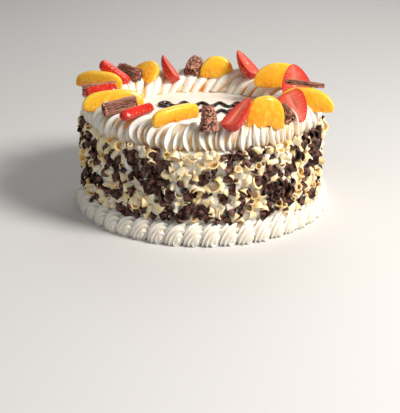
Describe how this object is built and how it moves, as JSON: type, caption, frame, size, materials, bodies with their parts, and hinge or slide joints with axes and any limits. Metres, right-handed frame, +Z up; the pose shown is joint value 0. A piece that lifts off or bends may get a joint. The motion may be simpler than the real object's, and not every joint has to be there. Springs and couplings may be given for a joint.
{
  "type": "fruit cream cake",
  "caption": "Round layer cake in whipped cream, with a piped rope border, fruit slices and chocolate flakes on top, chocolate curls on its side and a shell border at its foot.",
  "frame": {"origin": "centre of the cake's flat foot, on the surface it stands on", "axes": "+Z up out of the flat top; -Y towards the front, the side seen in the picture; +X to the right seen from the front"},
  "size_m": [0.2335, 0.2328, 0.1228],
  "materials": {
    "cake": "matte cream under curls of chocolate",
    "piped_cream": "soft satin",
    "strawberry": "wet gloss",
    "peach": "wet gloss",
    "flake": "matte"
  },
  "bodies": {
    "root": {"cake": "cake", "top_border": "piped_cream", "base_border": "piped_cream", "strawberry_1": "strawberry", "strawberry_2": "strawberry", "strawberry_3": "strawberry", "strawberry_4": "strawberry", "strawberry_5": "strawberry", "strawberry_6": "strawberry", "strawberry_7": "strawberry", "strawberry_8": "strawberry", "peach_1": "peach", "peach_2": "peach", "peach_3": "peach", "peach_4": "peach", "peach_5": "peach", "peach_6": "peach", "peach_7": "peach", "peach_8": "peach", "flake_1": "flake", "flake_2": "flake", "flake_3": "flake", "flake_4": "flake", "flake_5": "flake", "flake_6": "flake", "flake_7": "flake", "flake_8": "flake"}
  },
  "joints": []
}
